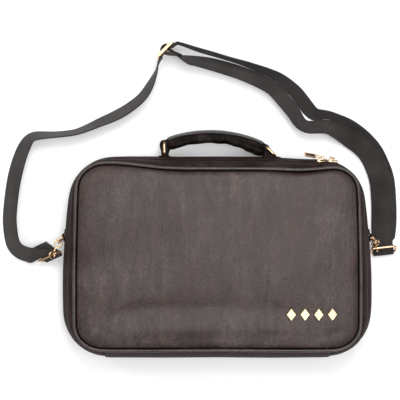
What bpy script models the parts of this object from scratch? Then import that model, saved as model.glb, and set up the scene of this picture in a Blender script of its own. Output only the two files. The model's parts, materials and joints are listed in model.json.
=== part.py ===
"""A soft leather carrying bag for prayer items, lying on its back panel, in metres with +Z up.

+X runs across the bag to its right, +Y to its top with the handle, +Z to its front panel.
The origin is the middle of the underside of the back panel.
"""
import math

import bmesh
import bpy
from mathutils import Matrix, Vector

MM = 0.001

# The bag at its widest line, and its depth from the floor to the front piping
BAG_WIDTH = 373 * MM
BAG_HEIGHT = 241 * MM
BAG_DEPTH = 68 * MM
TOP_CORNER = 48 * MM
BASE_CORNER = 58 * MM
FRONT_CORNER = 30 * MM
CORNER_REACH = 52.5 * MM
SIDE_SPREAD = 18.5 * MM
END_SPREAD = 11.5 * MM
TOP_TAPER = 0.07
FRONT_TAPER = 0.02
TOP_SAG = 7 * MM
TOP_LIFT = 2.5 * MM
TOP_LEAN = 3.5 * MM

# Leather and piping
LEATHER = 1.8 * MM
PIPING_RADIUS = 2.2 * MM
SEAM_GAP = 0.3 * MM
PANEL_CROWN = 9 * MM
SEAM_DROP = 0.6 * MM
PANEL_INSET = 0.2 * MM
PIPING_LIFT = 0.1 * MM

# Zip between the two gussets; each level is a share of the bag's depth
ZIP_LEVEL = 12 / 17
ZIP_TAPE_WIDTH = 4.6 * MM
ZIP_TAPE_THICKNESS = 1.4 * MM
ZIP_RECESS = 0.6 * MM
SLIDER_LENGTH = 12 * MM
SLIDER_WIDTH = 8 * MM
SLIDER_HEIGHT = 3.2 * MM
SLIDER_ROUNDING = 0.8 * MM
PULL_LENGTH = 20 * MM
PULL_WIDTH = 6.5 * MM
PULL_THICKNESS = 1.6 * MM
PULL_ROUNDING = 0.4 * MM
PULL_START = 1 * MM
PULL_TIP = {"left": 40, "right": 0}
PULL_SWING = {"left": 14, "right": 7}
PULL_SEAT = {"left": 1.45, "right": 0.6}
ZIP_SLIDER_INSET = 65.2 * MM
ZIP_SLIDER_PITCH = 14 * MM

# Handle
HANDLE_SPAN = 128 * MM
HANDLE_CENTRE_X = 2 * MM
HANDLE_RISE = 10 * MM
HANDLE_TILT = 15
HANDLE_SECTIONS = 14
HANDLE_LOOP_REACH = 5.5 * MM
HANDLE_LOOP_WIDTH = 19 * MM
ANCHOR_FLAP = 13 * MM
ANCHOR_WIDTH = 16 * MM
FLAP_LIFT = 0.8 * MM
ANCHOR_ROOM = 0.55 * MM
HANDLE_LEVEL = 6 / 17
GRIP_WIDTH = 22 * MM
GRIP_THICKNESS = 8.5 * MM
HANDLE_RING_WIDTH = 27 * MM
HANDLE_RING_LENGTH = 14 * MM
HANDLE_WIRE = 1.5 * MM
HANDLE_RING_CORNER = 3.5 * MM
HANDLE_RING_SHIFT = {"left": -1 * MM, "right": 3 * MM}
HANDLE_RING_SWING = {"left": 0, "right": 46}
HANDLE_SLOPE = {"left": 0.30, "right": 0.38}

# Side hardware and shoulder strap
RING_WIRE = 1.3 * MM
D_RING_HEIGHT = 20 * MM
D_RING_DEPTH = 12 * MM
SIDE_HARDWARE_LEVEL = 6 / 17
SIDE_HARDWARE_Y = 25 * MM
TAB_WIDTH = 15 * MM
TAB_FLAP = 11 * MM
D_RING_HANG = (0.6, -0.8)
CLASP_WIRE = 1.1 * MM
CLASP_HOLD = 0.4 * MM
CLASP_DROP = {"left": 0.0, "right": -3 * MM}
CLAW_RADIUS = 4.6 * MM
CLAW_OPEN = 75
EYE_RADIUS = 4.0 * MM
GATE_WIRE = 0.8 * MM
GATE_INSET = 0.4 * MM
GATE_SIDE = 2.5 * MM
STRAP_RING_WIDTH = 27 * MM
STRAP_RING_DEPTH = 12.6 * MM
STRAP_RING_CORNER = 3 * MM
STRAP_GRIP = 9.2 * MM
STRAP_WIDTH = 25 * MM
STRAP_THICKNESS = 1.6 * MM
CLEARANCE = 0.35 * MM

# Where the strap's end rings lie: the bar inside the webbing's fold, out from the bag's side, up
# and above the floor; the way it points, and the way from it to the ring's free bar
STRAP_FOLD = {"left": (12.5 * MM, -1.5 * MM, 11.5 * MM), "right": (17.5 * MM, 3.4 * MM, 3.6 * MM)}
STRAP_BAR_WAY = {"left": (0.784, 0.36, 0.504), "right": (0.994, 0.11, 0.0)}
STRAP_RING_WAY = {"left": (-0.54, 0.0, 0.84), "right": (-0.06, 0.54, 0.84)}

# Webbing: the way it leaves each bar, how its sewn ends lie, and its free runs
STRAP_LEAVES = {"left": (-0.615, 0.534, 0.577), "right": (-0.11, 0.994, 0.0),
                "slider": (0.92, -0.38, 0.0)}
SEWN_LENGTH = 26 * MM
SEWN_GAP = 0.2 * MM
FLOOR_GAP = 0.1 * MM
RUN_STEPS = 2
LEFT_RUN = (
    # (across, up, lean in degrees, lift): shares of the bag's width and height, and of the webbing
    (-0.6005, 0.002, 42, 0.36),
    (-0.638, 0.017, 42, 0.16),
    (-0.665, 0.058, 41, 0.04),
    (-0.6755, 0.137, 41, 0.0),
    (-0.676, 0.2265, 41, 0.0),
    (-0.664, 0.372, 41, 0.0),
    (-0.645, 0.4875, 43, 0.0),
    (-0.622, 0.5685, 50, 0.0),
    (-0.595, 0.603, 62, 0.0),
    (-0.5405, 0.609, 70, 0.0),
    (-0.462, 0.624, 70, 0.0),
    (-0.381, 0.674, 62, 0.0),
    (-0.309, 0.725, 58, 0.0),
    (-0.247, 0.7955, 60, 0.0),
    (-0.215, 0.871, 68, 0.02),
    (-0.196, 0.938, 82, 0.08),
)
OUTER_RUN = (
    (-0.059, 1.0385, 87, 0.05),
    (0.0535, 0.9875, 86, 0.0),
    (0.1285, 0.948, 80, 0.0),
    (0.2005, 0.900, 70, 0.0),
    (0.256, 0.828, 58, 0.0),
    (0.289, 0.762, 57, 0.0),
    (0.319, 0.7135, 60, 0.0),
    (0.362, 0.7095, 72, 0.0),
    (0.422, 0.680, 78, 0.0),
    (0.467, 0.6305, 75, 0.0),
    (0.5075, 0.5475, 50, 0.0),
    (0.532, 0.462, 22, 0.0),
    (0.5505, 0.378, 5, 0.0),
    (0.5575, 0.2555, 0, 0.0),
    (0.5575, 0.158, 0, 0.0),
    (0.5525, 0.0995, 0, 0.04),
)
INNER_RUN = (
    (-0.094, 0.990, 62, 0.04),
    (-0.029, 0.972, 50, 0.0),
    (0.043, 0.9415, 45, 0.0),
    (0.1145, 0.901, 43, 0.0),
    (0.180, 0.848, 42, 0.0),
    (0.222, 0.780, 41, 0.0),
    (0.2515, 0.722, 43, 0.0),
    (0.274, 0.670, 48, 0.0),
    (0.303, 0.649, 50, 0.0),
    (0.356, 0.6515, 45, 0.0),
    (0.4045, 0.6265, 20, 0.10),
    (0.447, 0.586, -10, 0.20),
    (0.489, 0.523, -30, 0.12),
    (0.5185, 0.452, -15, 0.10),
    (0.535, 0.372, -5, 0.13),
    (0.541, 0.2555, 0, 0.085),
    (0.541, 0.140, 0, 0.085),
    (0.5425, 0.091, 0, 0.13),
)
# Through the slider: shares of its pitch along it and of its bar beside it
SLIDER_PASS = ((-1.42, -1.40), (-1.10, -1.07), (-0.82, -0.97), (-0.58, 0.0), (-0.35, 1.2),
               (0.0, 1.6), (0.35, 1.2), (0.58, 0.0), (0.82, -0.97), (1.10, -1.07), (1.42, -1.40))
SLIDER_PLACE = (-0.16676, 1.0365)
SLIDER_LEVEL = 16 * MM
SLIDER_TURN = 45
SLIDER_PITCH = 11.3 * MM
SLIDER_BAR = 3 * MM
SLIDER_WINDOW = 26 * MM

# Ornament in the lower right of the front, its middle measured in from the bag's side and end
ORNAMENT_INSET = (76.5 * MM, 54.5 * MM)
ORNAMENT_SIDES = 16
ORNAMENT_LIFT = 0.5 * MM
ORNAMENT_COUNT = 4
ORNAMENT_ROW = 64 * MM
ORNAMENT_HEIGHT = 17 * MM
ORNAMENT_THICKNESS = 1.2 * MM

# Outline: the number of steps on each stretch
END_STEPS = 12
SIDE_STEPS = 5
CORNER_STEPS = 6

# Gusset section, from the back panel to the zip: spread is a share of the side or end spread
GUSSET_SECTION = (
    # (spread, height share of the bag's depth)
    (0.06, 0.068),
    (0.48, 0.150),
    (0.84, 0.245),
    (1.00, 0.370),
    (0.97, 0.480),
    (0.80, 0.580),
    (0.62, 0.652),
)
FRONT_GUSSET_SECTION = (
    (0.60, 0.762),
    (0.44, 0.830),
    (0.22, 0.905),
    (0.06, 0.964),
)
TAPE_SPREAD = (0.61, 0.60)
BASE_GUSSET_SECTION = (
    (0.07, 0.069),
    (0.52, 0.140),
    (0.92, 0.235),
    (1.09, 0.380),
    (1.05, 0.520),
    (0.82, 0.680),
    (0.50, 0.830),
    (0.07, 0.963),
)

# Front panel: rings from the seam to the middle, then the soft folds across it
PANEL_RINGS = (1.0, 0.965, 0.90, 0.80, 0.67, 0.52, 0.36, 0.18)
FRONT_FOLDS = (
    # (start across, start up, end across, end up, rise, half width), shares of half width,
    # half height and crown
    (-0.98, -0.70, -0.15, -0.50, -0.38, 0.085),
    (-0.15, -0.50, 0.45, -0.48, -0.26, 0.095),
    (-0.90, -0.90, 0.10, -0.72, 0.20, 0.10),
    (0.15, -0.18, 0.85, -0.05, 0.16, 0.30),
    (-0.75, 0.55, 0.20, 0.66, -0.12, 0.16),
)


def clear_scene():
    for old in list(bpy.data.objects):
        bpy.data.objects.remove(old, do_unlink=True)


def make_material(name, colour, roughness, metallic=0.0):
    material = bpy.data.materials.new(name)
    material.use_nodes = True
    shader = material.node_tree.nodes["Principled BSDF"]
    shader.inputs["Base Color"].default_value = (*colour, 1.0)
    shader.inputs["Roughness"].default_value = roughness
    shader.inputs["Metallic"].default_value = metallic
    return material


FINISHES = {
    "leather": ((0.075, 0.052, 0.047), 0.42, 0.0),
    "webbing": ((0.052, 0.043, 0.040), 0.85, 0.0),
    "tape": ((0.030, 0.024, 0.022), 0.80, 0.0),
    "gold": ((0.83, 0.60, 0.38), 0.24, 1.0),
}


def add_object(name, mesh, finish):
    thing = bpy.data.objects.new(name, mesh)
    bpy.context.scene.collection.objects.link(thing)
    mesh.materials.append(make_material(name + "_finish", *FINISHES[finish]))
    return thing


def finish_mesh(name, shape, finish, smooth=True):
    """Turn an edited shape into a named object with smooth sides and sharp rims."""
    bmesh.ops.recalc_face_normals(shape, faces=shape.faces)
    mesh = bpy.data.meshes.new(name)
    shape.to_mesh(mesh)
    shape.free()
    if smooth:
        mesh.shade_smooth()
        mesh.set_sharp_from_angle(angle=math.radians(40))
    return add_object(name, mesh, finish)


def mix(a, b, share):
    return a + (b - a) * share


def soft_step(value):
    value = max(0.0, min(1.0, value))
    return value * value * (3 - 2 * value)


def outline(spread, outset=0.0):
    """The bag's outline as a list of (x, y), anticlockwise from the left end of the bottom stretch.

    A spread of 0 is the piping line and 1 is the widest line of the gusset.
    """
    half_width = BAG_WIDTH / 2 - SIDE_SPREAD * (1 - spread) + outset
    half_height = BAG_HEIGHT / 2 - END_SPREAD * (1 - spread) + outset
    radius = {-1: mix(FRONT_CORNER, BASE_CORNER, spread) + outset,
              1: mix(FRONT_CORNER, TOP_CORNER, spread) + outset}
    straight_x = BAG_WIDTH / 2 - CORNER_REACH
    straight_y = {end: half_height - radius[end] for end in radius}
    points = []
    corners = ((1, -1, -90), (1, 1, 0), (-1, 1, 90), (-1, -1, 180))
    for index, (side, end, start) in enumerate(corners):
        steps = END_STEPS if index % 2 == 0 else SIDE_STEPS
        previous = corners[index - 1]
        centre = Vector((side * straight_x, end * straight_y[end]))
        reach = Vector((half_width - straight_x, radius[end]))
        if index % 2 == 0:
            first = Vector((previous[0] * straight_x, end * half_height))
            last = Vector((side * straight_x, end * half_height))
        else:
            first = Vector((side * half_width, previous[1] * straight_y[previous[1]]))
            last = Vector((side * half_width, end * straight_y[end]))
        for step in range(steps):
            points.append(first.lerp(last, step / steps))
        for step in range(CORNER_STEPS):
            angle = math.radians(start + 90 * step / CORNER_STEPS)
            arc = Vector((math.cos(angle) * reach.x, math.sin(angle) * reach.y))
            points.append(centre + arc)
    return [bend_outline(point, spread) for point in points]


def bend_outline(point, spread):
    """Draw the top in, less at the front, let the front edge sag, and drop the top's right end."""
    up = point.y / (BAG_HEIGHT / 2)
    across = point.x / (BAG_WIDTH / 2)
    taper = mix(FRONT_TAPER, TOP_TAPER, spread) * max(0.0, (up + 0.15) / 1.15) ** 1.2
    middle = soft_step((0.78 - abs(across - 0.10)) / 0.42)
    sag = (TOP_SAG * middle - TOP_LIFT) * soft_step((up - 0.35) / 0.5) * max(0.0, 1 - spread)
    lean = TOP_LEAN * soft_step((across - 0.30) / 0.35) * soft_step((up - 0.2) / 0.8)
    return Vector((point.x * (1 - taper), point.y - sag - lean))


def section_rings(section, outset=0.0):
    """Rings of points round the bag, one for each row of a section."""
    rings = []
    for spread, height in section:
        rings.append([Vector((p.x, p.y, height * BAG_DEPTH)) for p in outline(spread, outset)])
    return rings


def skin(name, rows, finish, thickness, closed):
    """A leather wall: a surface lofted through rows of points, given its thickness inwards."""
    shape = bmesh.new()
    grid = [[shape.verts.new(point) for point in row] for row in rows]
    count = len(rows[0])
    last = count if closed else count - 1
    for lower, upper in zip(grid, grid[1:]):
        for index in range(last):
            after = (index + 1) % count
            shape.faces.new((lower[index], lower[after], upper[after], upper[index]))
    mesh = bpy.data.meshes.new(name)
    shape.to_mesh(mesh)
    shape.free()
    mesh.shade_smooth()
    wall = add_object(name, mesh, finish)
    solid = wall.modifiers.new("wall", "SOLIDIFY")
    solid.thickness = thickness
    solid.offset = -1
    solid.use_even_offset = True
    solid.use_rim = True
    return wall


def tube(name, points, radius, finish, closed=True):
    """A round bar or piping along a list of points."""
    curve = bpy.data.curves.new(name, "CURVE")
    curve.dimensions = "3D"
    curve.bevel_depth = radius
    curve.bevel_resolution = 1
    curve.use_fill_caps = not closed
    curve.resolution_u = 1
    curve.render_resolution_u = 0
    spline = curve.splines.new("POLY")
    spline.points.add(len(points) - 1)
    for place, point in zip(spline.points, points):
        place.co = (*point, 1.0)
    spline.use_cyclic_u = closed
    bar = bpy.data.objects.new(name, curve)
    bpy.context.scene.collection.objects.link(bar)
    curve.materials.append(make_material(name + "_finish", *FINISHES[finish]))
    return bar


def pick(ring, first, last):
    """A stretch of an outline ring, counted in its steps, going on past its end."""
    count = len(ring)
    return [ring[index % count] for index in range(first, last + 1)]


def build_body():
    total = 2 * (END_STEPS + SIDE_STEPS) + 4 * CORNER_STEPS
    base = (0, END_STEPS)
    upper = (END_STEPS, total)
    rear = [pick(ring, *upper) for ring in section_rings(GUSSET_SECTION)]
    skin("rear_gusset", rear, "leather", LEATHER, closed=False)
    front = [pick(ring, *upper) for ring in section_rings(FRONT_GUSSET_SECTION)]
    skin("front_gusset", front, "leather", LEATHER, closed=False)
    bottom = [pick(ring, *base) for ring in section_rings(BASE_GUSSET_SECTION, SEAM_GAP)]
    for row in bottom:
        row[0] = row[0] + Vector((CLEARANCE, 0, 0))
        row[-1] = row[-1] - Vector((CLEARANCE, 0, 0))
    skin("base_gusset", bottom, "leather", LEATHER, closed=False)
    half_tape = ZIP_TAPE_WIDTH / 2 / BAG_DEPTH
    tape_section = ((TAPE_SPREAD[0], ZIP_LEVEL - half_tape), (TAPE_SPREAD[1], ZIP_LEVEL + half_tape))
    tape_rows = section_rings(tape_section, -ZIP_RECESS)
    tape = [pick(ring, *upper) for ring in tape_rows]
    skin("zip_tape", tape, "tape", ZIP_TAPE_THICKNESS, closed=False)

    for name, height in (("rear_piping", PIPING_RADIUS + PIPING_LIFT), ("front_piping", BAG_DEPTH)):
        seam = outline(0.0)
        tube(name, [Vector((p.x, p.y, height)) for p in seam], PIPING_RADIUS, "leather")


def panel_rise(across, up):
    """Height of the front panel above its seam, from the crown and the soft folds."""
    edge = max(0.0, 1 - abs(across) ** 5) * max(0.0, 1 - abs(up) ** 4)
    rise = PANEL_CROWN * edge ** 0.55
    for x1, y1, x2, y2, depth, width in FRONT_FOLDS:
        run = Vector((x2 - x1, y2 - y1))
        along = Vector((across - x1, up - y1)).dot(run) / run.length_squared
        along = max(0.0, min(1.0, along))
        nearest = Vector((x1, y1)) + run * along
        away = (Vector((across, up)) - nearest).length
        fade = soft_step(min(along, 1 - along) * 3 + 0.25)
        rise += PANEL_CROWN * depth * fade * math.exp(-(away / width) ** 2) * min(1.0, edge * 2)
    return max(rise, 0.0)


def panel_rows(seam_height, raised):
    """Rings of a panel from its seam inwards, drawn in a little from the piping."""
    inset = PIPING_RADIUS + SEAM_GAP + PANEL_INSET
    seam = outline(0.0, -inset)
    half_width = max(point.x for point in seam)
    half_height = max(point.y for point in seam)
    rows = []
    for share in PANEL_RINGS:
        row = []
        for point in seam:
            x, y = point.x * share, point.y * share
            rise = panel_rise(x / half_width, y / half_height) if raised and share < 1 else 0.0
            row.append(Vector((x, y, seam_height + rise)))
        rows.append(row)
    middle = panel_rise(0.0, 0.0) if raised else 0.0
    return rows, Vector((0, 0, seam_height + middle))


def build_panel(name, seam_height, raised):
    rows, middle = panel_rows(seam_height, raised)
    if not raised:
        rows = rows[:1]
    shape = bmesh.new()
    grid = [[shape.verts.new(point) for point in row] for row in rows]
    count = len(rows[0])
    for outer, inner in zip(grid, grid[1:]):
        for index in range(count):
            after = (index + 1) % count
            shape.faces.new((outer[index], outer[after], inner[after], inner[index]))
    top = shape.verts.new(middle)
    for index in range(count):
        shape.faces.new((grid[-1][index], grid[-1][(index + 1) % count], top))
    mesh = bpy.data.meshes.new(name)
    shape.to_mesh(mesh)
    shape.free()
    mesh.shade_smooth()
    panel = add_object(name, mesh, "leather")
    solid = panel.modifiers.new("wall", "SOLIDIFY")
    solid.thickness = LEATHER
    solid.offset = -1
    solid.use_rim = True


def gusset_point(step, height, outset):
    """A point on the upper gusset at a share of the outline, a height and a distance outside it."""
    table = GUSSET_SECTION + FRONT_GUSSET_SECTION
    share = height / BAG_DEPTH
    spread = table[0][0]
    for (low, low_height), (high, high_height) in zip(table, table[1:]):
        if low_height <= share <= high_height:
            spread = mix(low, high, (share - low_height) / (high_height - low_height))
    ring = outline(spread, outset)
    count = len(ring)
    whole = int(math.floor(step))
    point = ring[whole % count].lerp(ring[(whole + 1) % count], step - whole)
    return Vector((point.x, point.y, height))


def step_at(x=None, y=None, side=1):
    """The step along the outline that lies at x on the top, or at y on the side named."""
    ring = outline(1.0)
    count = len(ring)
    best = None
    for index in range(count):
        a, b = ring[index], ring[(index + 1) % count]
        if x is not None and a.y > 0 and b.y > 0 and (a.x - x) * (b.x - x) <= 0 and a.x != b.x:
            best = index + (x - a.x) / (b.x - a.x)
        if y is not None and a.x * side > 0 and b.x * side > 0 and a.y != b.y:
            if (a.y - y) * (b.y - y) <= 0:
                best = index + (y - a.y) / (b.y - a.y)
    return best


def loop_points(width, depth, corner, steps=3):
    """A rounded rectangle as (u, v) pairs about its middle."""
    points = []
    for side, end, start in ((1, -1, -90), (1, 1, 0), (-1, 1, 90), (-1, -1, 180)):
        for step in range(steps + 1):
            angle = math.radians(start + 90 * step / steps)
            u = side * (width / 2 - corner) + math.cos(angle) * corner
            v = end * (depth / 2 - corner) + math.sin(angle) * corner
            points.append((u, v))
    return points


def place(origin, first, second, pairs):
    return [origin + first * u + second * v for u, v in pairs]


def surface_frame(step, height):
    """Point on the gusset with the directions along it and out of it."""
    point = gusset_point(step, height, 0.0)
    along = gusset_point(step + 0.3, height, 0.0) - gusset_point(step - 0.3, height, 0.0)
    along.normalize()
    return point, along, Vector((along.y, -along.x, 0))


def build_anchor(name, step, height, width, bar_radius, flap):
    """A leather loop sewn flat on the gusset at both ends, arched over a ring's bar."""
    base, along, out = surface_frame(step, height)
    segment = (gusset_point(step + 0.5, height, 0.0) - gusset_point(step - 0.5, height, 0.0)).length
    flat = FLAP_LIFT + LEATHER / 2
    bar_height = CLEARANCE + bar_radius
    radius = bar_radius + ANCHOR_ROOM + LEATHER / 2
    section = [(-flap, flat), (-flap * 0.7, flat), (-radius * 1.55, flat + 0.1 * MM)]
    for angle in range(180, -1, -36):
        turn = math.radians(angle)
        section.append((math.cos(turn) * radius, bar_height + math.sin(turn) * radius))
    section += [(-u, v) for u, v in reversed(section[:3])]
    rows = []
    for share in (-0.5, -0.25, 0.0, 0.25, 0.5):
        row = []
        for shift, rise in section:
            surface = gusset_point(step + shift / segment, height + share * width, 0.0)
            straight = Vector((0, 0, surface.z)) + (base + along * shift).to_2d().to_3d()
            lifted = soft_step((rise - flat) / (2 * MM))
            row.append(surface.lerp(straight, lifted) + out * rise)
        rows.append(row)
    strap = skin(name, rows, "leather", LEATHER, closed=False)
    strap.modifiers["wall"].offset = 0
    return base + out * bar_height, along, out


def build_grip(left, right):
    """The rolled handle: round-cornered sections along a low arch, wider at its middle."""
    tilt = math.radians(HANDLE_TILT)
    shape = bmesh.new()
    sections = []
    for index in range(HANDLE_SECTIONS + 1):
        share = index / HANDLE_SECTIONS
        centre = left.lerp(right, share)
        centre.y += HANDLE_RISE * (1 - (2 * share - 1) ** 2) ** 0.9
        swell = 1 - 0.12 * (2 * share - 1) ** 2
        slope = -HANDLE_RISE * 4 * (2 * share - 1) / (right.x - left.x)
        slope += (right.y - left.y) / (right.x - left.x)
        normal = Vector((-slope, 1, 0)).normalized()
        wide = Vector((0, 0, 1)) * math.cos(tilt) - normal * math.sin(tilt)
        thick = normal * math.cos(tilt) + Vector((0, 0, 1)) * math.sin(tilt)
        pairs = loop_points(GRIP_WIDTH * swell, GRIP_THICKNESS * swell, GRIP_THICKNESS * 0.36, 2)
        sections.append([shape.verts.new(p) for p in place(centre, wide, thick, pairs)])
    for lower, upper in zip(sections, sections[1:]):
        for index in range(len(lower)):
            after = (index + 1) % len(lower)
            shape.faces.new((lower[index], lower[after], upper[after], upper[index]))
    shape.faces.new(sections[0])
    shape.faces.new(sections[-1])
    finish_mesh("handle_grip", shape, "leather")


def build_handle():
    for side, sign in (("left", -1), ("right", 1)):
        x = HANDLE_CENTRE_X + sign * HANDLE_SPAN / 2 + HANDLE_RING_SHIFT[side]
        step = step_at(x=x)
        bar, along, out = build_anchor("handle_anchor_" + side, step, HANDLE_LEVEL * BAG_DEPTH,
                                       ANCHOR_WIDTH, HANDLE_WIRE, ANCHOR_FLAP)
        angle = math.radians(90 + HANDLE_RING_SWING[side])
        reach = Vector((math.cos(angle), math.sin(angle), 0))
        middle = bar + reach * HANDLE_RING_LENGTH / 2
        pairs = loop_points(HANDLE_RING_WIDTH, HANDLE_RING_LENGTH, HANDLE_RING_CORNER)
        tube("handle_ring_" + side, place(middle, Vector((0, 0, 1)), reach, pairs),
             HANDLE_WIRE, "gold")
        top = bar + reach * HANDLE_RING_LENGTH
        yield side, top


def build_handle_loop(side, bar, towards):
    """The leather end of the handle, folded round the ring's bar and back to the grip."""
    radius = HANDLE_WIRE + CLEARANCE + LEATHER / 2
    across = Vector((-towards.y, towards.x, 0))
    pairs = [(HANDLE_LOOP_REACH, radius)]
    for angle in range(90, 271, 36):
        turn = math.radians(angle)
        pairs.append((math.cos(turn) * radius, math.sin(turn) * radius))
    pairs.append((HANDLE_LOOP_REACH, -radius))
    rows = []
    for height in (-0.5, 0.5):
        level = Vector((0, 0, height * HANDLE_LOOP_WIDTH))
        rows.append([p + level for p in place(bar, towards, across, pairs)])
    loop = skin("handle_loop_" + side, rows, "leather", LEATHER, closed=False)
    loop.modifiers["wall"].offset = 0


def build_whole_handle():
    tops = dict(build_handle())
    ends = {}
    for side, direction in (("left", 1), ("right", -1)):
        towards = Vector((direction, HANDLE_SLOPE[side], 0)).normalized()
        build_handle_loop(side, tops[side], towards)
        ends[side] = tops[side] + towards * (HANDLE_LOOP_REACH + 2 * CLEARANCE)
    build_grip(ends["left"], ends["right"])


def strap_fold(side):
    """The middle of the bar that the strap's end is folded round."""
    reach, up, height = STRAP_FOLD[side]
    sign = -1 if side == "left" else 1
    return Vector((sign * (BAG_WIDTH / 2 + reach), up, height))


def build_side(side, sign):
    """Everything on one side: the sewn tab, its ring, the snap clasp and the strap's ring."""
    step = step_at(y=SIDE_HARDWARE_Y, side=sign)
    bar, along, out = build_anchor("side_tab_" + side, step, SIDE_HARDWARE_LEVEL * BAG_DEPTH,
                                   TAB_WIDTH, RING_WIRE, TAB_FLAP)
    up = Vector((0, 0, 1))
    hang = Vector((sign * D_RING_HANG[0], D_RING_HANG[1], 0)).normalized()
    half = D_RING_HEIGHT / 2 + RING_WIRE
    pairs = [(0.0, -half)]
    for angle in range(-75, 76, 25):
        turn = math.radians(angle)
        pairs.append((math.cos(turn) ** 0.6 * D_RING_DEPTH, math.sin(turn) * half))
    pairs.append((0.0, half))
    tube("d_ring_" + side, place(bar, hang, up, pairs), RING_WIRE, "gold")

    bar_way = Vector(STRAP_BAR_WAY[side]).normalized()
    ring_way = Vector(STRAP_RING_WAY[side]).normalized()
    fold = strap_fold(side)
    middle = fold + ring_way * STRAP_RING_DEPTH / 2
    pairs = loop_points(STRAP_RING_WIDTH + 2 * RING_WIRE, STRAP_RING_DEPTH, STRAP_RING_CORNER)
    tube("strap_ring_" + side, place(middle, bar_way, ring_way, pairs), RING_WIRE, "gold")

    eye = fold + ring_way * STRAP_RING_DEPTH + bar_way * STRAP_GRIP * (1 if side == "left" else -1)
    grip_drop = CLASP_DROP[side]
    depth = (1 - (grip_drop / half) ** 2) ** 0.3 * D_RING_DEPTH
    end = bar + hang * depth + up * grip_drop
    way = (eye - end).normalized()
    build_clasp(side, end + way * CLASP_HOLD, way, eye, bar_way)


def build_clasp(side, claw, way, eye, bar_way):
    """A snap clasp of bent wire: an open claw, a shank and a closed eye; then its sprung gate."""
    lateral = way.cross(Vector((0, 0, 1))).normalized()
    upright = way.cross(bar_way).normalized()
    path = []
    for angle in range(CLAW_OPEN, 331, 30):
        turn = math.radians(angle)
        path.append(claw + (way * math.cos(turn) + lateral * math.sin(turn)) * CLAW_RADIUS)
    path.append(claw + way * CLAW_RADIUS)
    neck = eye - way * EYE_RADIUS
    path.append(claw.lerp(neck, 0.5) + way * CLAW_RADIUS * 0.5)
    path.append(neck)
    for angle in range(210, 511, 30):
        turn = math.radians(angle)
        path.append(eye + (way * math.cos(turn) + upright * math.sin(turn)) * EYE_RADIUS)
    tube("clasp_" + side, path, CLASP_WIRE, "gold", closed=False)
    hinge = claw + way * (CLAW_RADIUS - GATE_INSET)
    hinge += lateral * GATE_SIDE
    tip_turn = math.radians(CLAW_OPEN)
    tip = claw + (way * math.cos(tip_turn) + lateral * math.sin(tip_turn)) * CLAW_RADIUS
    stop = hinge.lerp(tip, 0.72)
    tube("clasp_gate_" + side, [hinge, stop], GATE_WIRE, "gold", closed=False)


def box_on(name, origin, axes, size, finish, bevel):
    """A small block with rounded edges, centred on a point and turned to three directions."""
    shape = bmesh.new()
    bmesh.ops.create_cube(shape, size=1.0)
    turn = Matrix([[axis[row] for axis in axes] for row in range(3)]).to_4x4()
    scale = Matrix.Diagonal((*size, 1.0))
    bmesh.ops.transform(shape, matrix=Matrix.Translation(origin) @ turn @ scale, verts=shape.verts)
    bmesh.ops.bevel(shape, geom=shape.edges[:], offset=bevel, segments=1, affect="EDGES")
    return finish_mesh(name, shape, finish)


def build_zip_pair():
    """Two sliders meeting head to head on the zip's top run, each with a bare pull."""
    up = Vector((0, 0, 1))
    first_x = BAG_WIDTH / 2 - ZIP_SLIDER_INSET
    for side, x in (("left", first_x), ("right", first_x + ZIP_SLIDER_PITCH)):
        base, along, out = surface_frame(step_at(x=x), ZIP_LEVEL * BAG_DEPTH)
        centre = base + out * (SLIDER_HEIGHT / 2 + CLEARANCE)
        box_on("zip_slider_" + side, centre, (along, up, out),
               (SLIDER_LENGTH, SLIDER_WIDTH, SLIDER_HEIGHT), "gold", SLIDER_ROUNDING)
        tip = math.radians(PULL_TIP[side])
        swing = math.radians(PULL_SWING[side])
        face = out * math.cos(tip) + up * math.sin(tip)
        flat = along if side == "left" else -up
        way = (flat * math.cos(swing) + face * math.sin(swing)).normalized()
        across = face.cross(way).normalized()
        face = way.cross(across)
        hinge = centre + out * (SLIDER_HEIGHT / 2 + CLEARANCE + PULL_THICKNESS * PULL_SEAT[side])
        spot = hinge + way * (PULL_LENGTH / 2 + PULL_START)
        box_on("zip_pull_" + side, spot, (way, across, face),
               (PULL_LENGTH, PULL_WIDTH, PULL_THICKNESS), "gold", PULL_ROUNDING)


def build_slider():
    """The strap's three-bar slider: one plate with two windows, standing on its edge."""
    way = Vector((math.cos(math.radians(SLIDER_TURN)), math.sin(math.radians(SLIDER_TURN)), 0))
    up = Vector((0, 0, 1))
    half = SLIDER_BAR / 2
    across = (-SLIDER_PITCH - half, -SLIDER_PITCH + half, -half, half,
              SLIDER_PITCH - half, SLIDER_PITCH + half)
    window = SLIDER_WINDOW / 2
    high = (-window - SLIDER_BAR, -window, window, window + SLIDER_BAR)
    shape = bmesh.new()
    centre = Vector((SLIDER_PLACE[0] * BAG_WIDTH, SLIDER_PLACE[1] * BAG_HEIGHT, SLIDER_LEVEL))
    grid = [[shape.verts.new(centre + way * u + up * v) for u in across] for v in high]
    for row in range(3):
        for column in range(5):
            if row == 1 and column in (1, 3):
                continue
            shape.faces.new((grid[row][column], grid[row][column + 1],
                             grid[row + 1][column + 1], grid[row + 1][column]))
    plate = finish_mesh("strap_slider", shape, "gold", smooth=False)
    solid = plate.modifiers.new("plate", "SOLIDIFY")
    solid.thickness = SLIDER_BAR
    solid.offset = 0
    return centre, way, Vector((-way.y, way.x, 0))


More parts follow.
